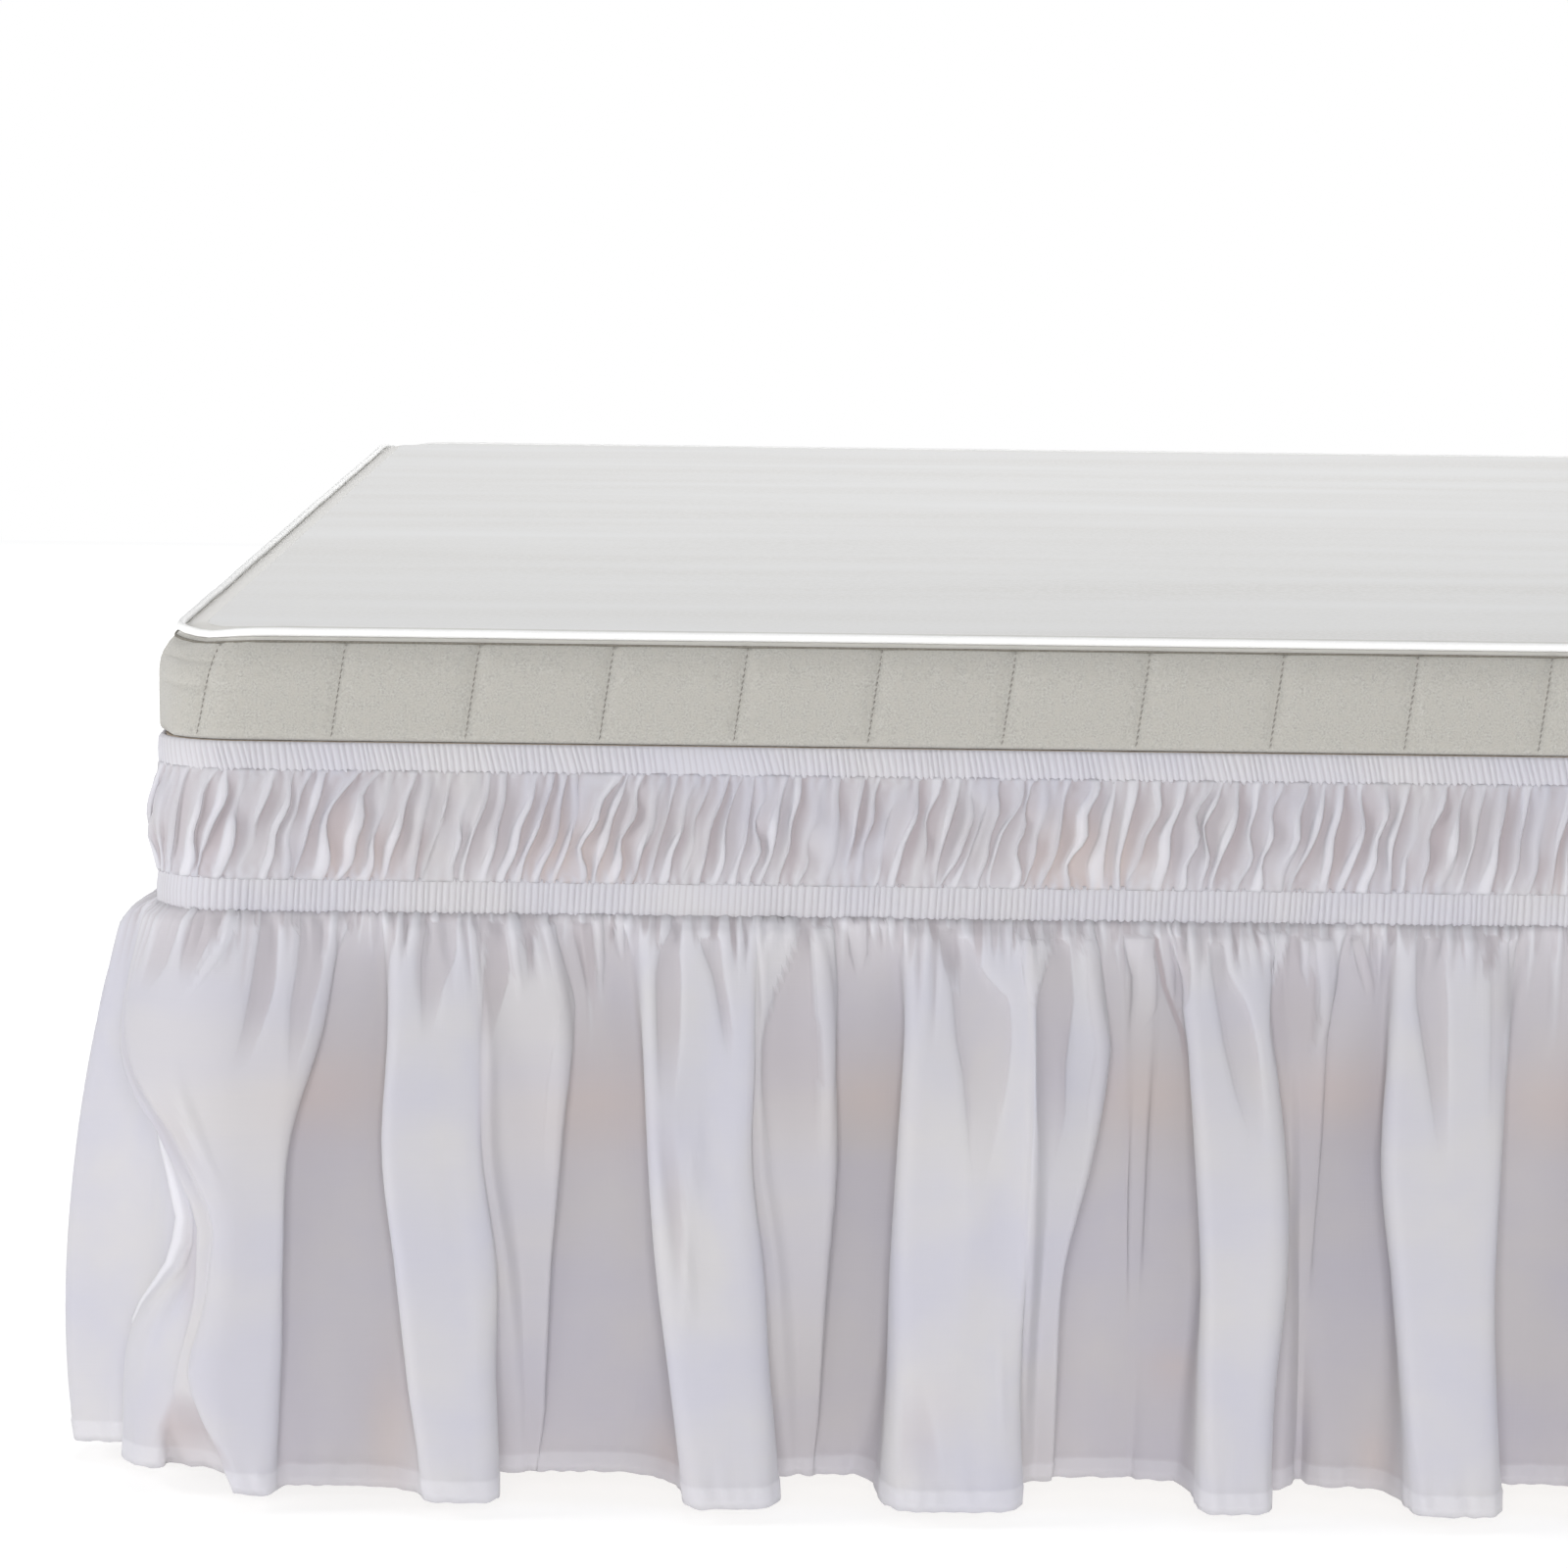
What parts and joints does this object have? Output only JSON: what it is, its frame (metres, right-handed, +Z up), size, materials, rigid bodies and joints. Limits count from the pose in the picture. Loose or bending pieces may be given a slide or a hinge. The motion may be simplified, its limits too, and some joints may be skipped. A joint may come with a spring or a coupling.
{
  "type": "bed skirt on a bed with a mattress",
  "caption": "Wrap-around white bed skirt: two elastic casings with a puffed band between them and gathered falls, fitted round a plain bed with a thin mattress.",
  "frame": {"origin": "on the floor, under the middle of the whole object's box", "axes": "+Z up, +Y from the foot end of the bed to the head end, +X to the right seen from the foot end"},
  "size_m": [1.653, 2.1349, 0.4773],
  "materials": {
    "skirt_cloth": "soft woven microfibre, white, slightly sheer",
    "elastic": "knitted elastic, white, matt",
    "mattress_cover": "knitted grey-beige border and ivory top",
    "piping": "white bound cord",
    "base_cover": "plain beige cover, matt",
    "leg_wood": "oiled beech"
  },
  "bodies": {
    "root": {"casing_top": "skirt_cloth", "puffed_band": "skirt_cloth", "casing_lower": "skirt_cloth", "fall_foot": "skirt_cloth", "fall_left": "skirt_cloth", "fall_right": "skirt_cloth", "elastic_top": "elastic", "elastic_lower": "elastic", "mattress": "mattress_cover", "mattress_piping": "piping", "bed_base": "base_cover", "leg_foot_left": "leg_wood", "leg_foot_right": "leg_wood", "leg_head_left": "leg_wood", "leg_head_right": "leg_wood", "leg_middle": "leg_wood"}
  },
  "joints": []
}
